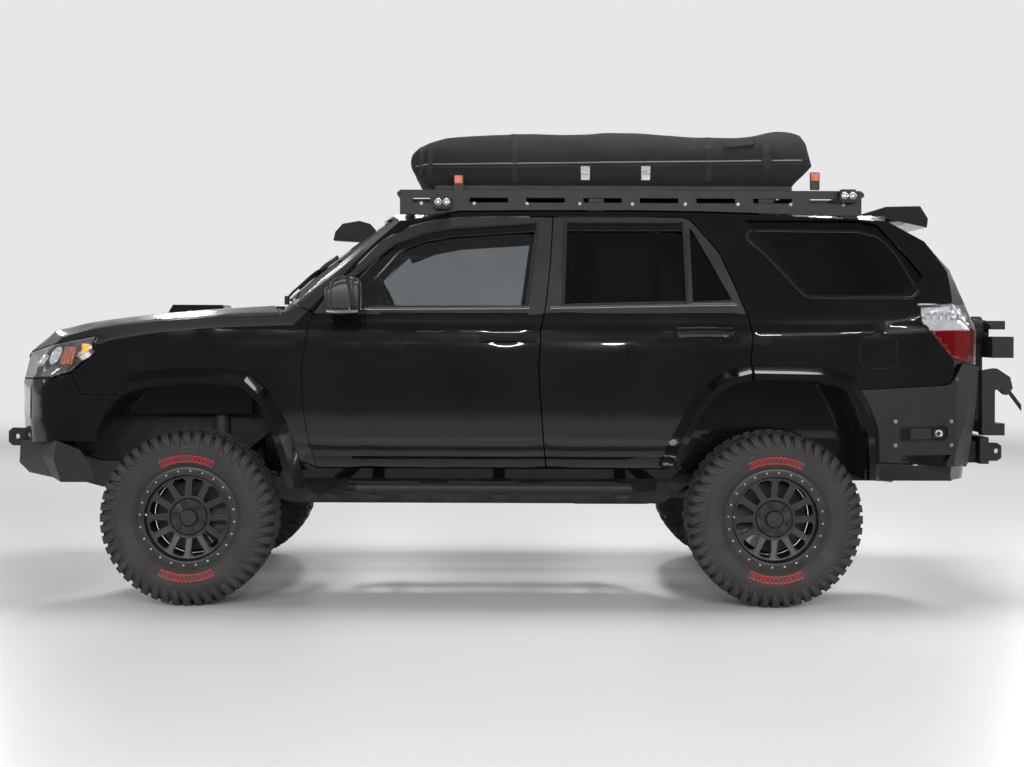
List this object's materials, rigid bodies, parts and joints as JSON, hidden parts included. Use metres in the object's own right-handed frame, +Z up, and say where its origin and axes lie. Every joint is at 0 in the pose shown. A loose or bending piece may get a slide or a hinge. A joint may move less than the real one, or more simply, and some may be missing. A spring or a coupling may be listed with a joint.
{
  "type": "lifted off-road wagon",
  "caption": "Lifted body-on-frame off-road wagon with mud tyres, steel bumpers, roof rack, roof tent, snorkel and swing-out rear carrier; wheels, steering, doors and lids move.",
  "frame": {"origin": "on the floor below the middle of the overall length, on the centre plane", "axes": "+Z up, nose towards -X, the car's left side at -Y"},
  "size_m": [5.0599, 2.148, 2.3321],
  "materials": {
    "frame_paint": "black chassis paint",
    "cast_metal": "cast metal",
    "aluminium_parts": "cast aluminium",
    "raw_steel": "weathered steel",
    "black_plastic": "grained black plastic",
    "body_paint": "black gloss clear-coated paint",
    "lamp_clear": "clear lamp with bright reflector",
    "lamp_red": "red and clear rear lamp",
    "window_glass": "tinted glass",
    "satin_black": "satin black powder coat",
    "tent_fabric": "black coated fabric",
    "seat_leather": "black upholstery",
    "tyre_rubber": "tyre rubber",
    "wheel_black": "satin black wheel paint"
  },
  "bodies": {
    "chassis": {"ladder_frame": "frame_paint", "engine_block": "cast_metal", "driveline": "aluminium_parts", "exhaust": "raw_steel", "fuel_tank": "black_plastic", "front_suspension": "frame_paint", "steering_rack": "aluminium_parts", "rear_axle": "frame_paint", "body_shell": "body_paint", "front_fenders": "body_paint", "front_fascia": "body_paint", "grille": "black_plastic", "headlamps": "lamp_clear", "tail_lamps": "lamp_red", "fixed_glass": "window_glass", "front_bumper": "satin_black", "rear_bumper": "satin_black", "hitch_receiver": "satin_black", "side_steps": "satin_black", "roof_rack": "satin_black", "roof_tent": "tent_fabric", "snorkel": "black_plastic", "seats": "seat_leather", "dashboard": "black_plastic"},
    "hood": {"hood": "body_paint"},
    "tailgate": {"tailgate": "body_paint", "tailgate_glass": "window_glass"},
    "carrier": {"carrier": "satin_black"},
    "steering_wheel": {"steering_wheel": "black_plastic"},
    "tie_rods": {"tie_rods": "raw_steel"},
    "door_front_left": {"door_front_left": "body_paint", "glass_front_left": "window_glass"},
    "wheel_front_left": {"tyre_front_left": "tyre_rubber", "wheel_front_left": "wheel_black"},
    "door_rear_left": {"door_rear_left": "body_paint", "glass_rear_left": "window_glass"},
    "wheel_rear_left": {"tyre_rear_left": "tyre_rubber", "wheel_rear_left": "wheel_black"},
    "knuckle_left": {"knuckle_left": "cast_metal"},
    "door_front_right": {"door_front_right": "body_paint", "glass_front_right": "window_glass"},
    "wheel_front_right": {"tyre_front_right": "tyre_rubber", "wheel_front_right": "wheel_black"},
    "door_rear_right": {"door_rear_right": "body_paint", "glass_rear_right": "window_glass"},
    "wheel_rear_right": {"tyre_rear_right": "tyre_rubber", "wheel_rear_right": "wheel_black"},
    "knuckle_right": {"knuckle_right": "cast_metal"}
  },
  "joints": [
    {"name": "door_front_left_hinge", "type": "hinge", "parent": "chassis", "child": "door_front_left", "pos_m": [-0.994, -0.906, 1], "axis": [0, 0, -1], "range_deg": [0, 68]},
    {"name": "wheel_front_left_spin", "type": "hinge", "parent": "knuckle_left", "child": "wheel_front_left", "pos_m": [-1.531, -0.825, 0.418], "axis": [0, 1, 0], "continuous": true},
    {"name": "door_rear_left_hinge", "type": "hinge", "parent": "chassis", "child": "door_rear_left", "pos_m": [0.125, -0.906, 1], "axis": [0, 0, -1], "range_deg": [0, 65]},
    {"name": "wheel_rear_left_spin", "type": "hinge", "parent": "chassis", "child": "wheel_rear_left", "pos_m": [1.259, -0.825, 0.418], "axis": [0, 1, 0], "continuous": true},
    {"name": "steer_left", "type": "hinge", "parent": "chassis", "child": "knuckle_left", "pos_m": [-1.531, -0.755, 0.418], "axis": [0, 0, 1], "range_deg": [-30, 30]},
    {"name": "door_front_right_hinge", "type": "hinge", "parent": "chassis", "child": "door_front_right", "pos_m": [-0.994, 0.906, 1], "axis": [0, 0, 1], "range_deg": [0, 68]},
    {"name": "wheel_front_right_spin", "type": "hinge", "parent": "knuckle_right", "child": "wheel_front_right", "pos_m": [-1.531, 0.825, 0.418], "axis": [0, 1, 0], "continuous": true},
    {"name": "door_rear_right_hinge", "type": "hinge", "parent": "chassis", "child": "door_rear_right", "pos_m": [0.125, 0.906, 1], "axis": [0, 0, 1], "range_deg": [0, 65]},
    {"name": "wheel_rear_right_spin", "type": "hinge", "parent": "chassis", "child": "wheel_rear_right", "pos_m": [1.259, 0.825, 0.418], "axis": [0, 1, 0], "continuous": true},
    {"name": "steer_right", "type": "hinge", "parent": "chassis", "child": "knuckle_right", "pos_m": [-1.531, 0.755, 0.418], "axis": [0, 0, 1], "range_deg": [-30, 30]},
    {"name": "rack_slide", "type": "slide", "parent": "chassis", "child": "tie_rods", "axis": [0, -1, 0], "range_m": [-0.062, 0.062]},
    {"name": "steering_wheel_turn", "type": "hinge", "parent": "chassis", "child": "steering_wheel", "pos_m": [-0.59077, -0.38045, 1.4003], "axis": [0.9063, 0, 0.4226], "range_deg": [-480, 480]},
    {"name": "hood_hinge", "type": "hinge", "parent": "chassis", "child": "hood", "pos_m": [-1.081, 0, 1.44], "axis": [0, 1, 0], "range_deg": [0, 50]},
    {"name": "carrier_swing", "type": "hinge", "parent": "chassis", "child": "carrier", "pos_m": [2.36932, 0.76998, 0.83], "axis": [0, 0, 1], "range_deg": [0, 120]},
    {"name": "tailgate_lift", "type": "hinge", "parent": "chassis", "child": "tailgate", "pos_m": [1.831, 0, 1.912], "axis": [0, -1, 0], "range_deg": [0, 78]}
  ],
  "couplings": [
    {"joint": "steer_right", "follows": "steer_left", "ratio": 1},
    {"joint": "rack_slide", "follows": "steer_left", "m_per_rad": 0.1146},
    {"joint": "steering_wheel_turn", "follows": "steer_left", "ratio": 16},
    {"joint": "tailgate_lift", "follows": "carrier_swing", "ratio": 0.65}
  ]
}
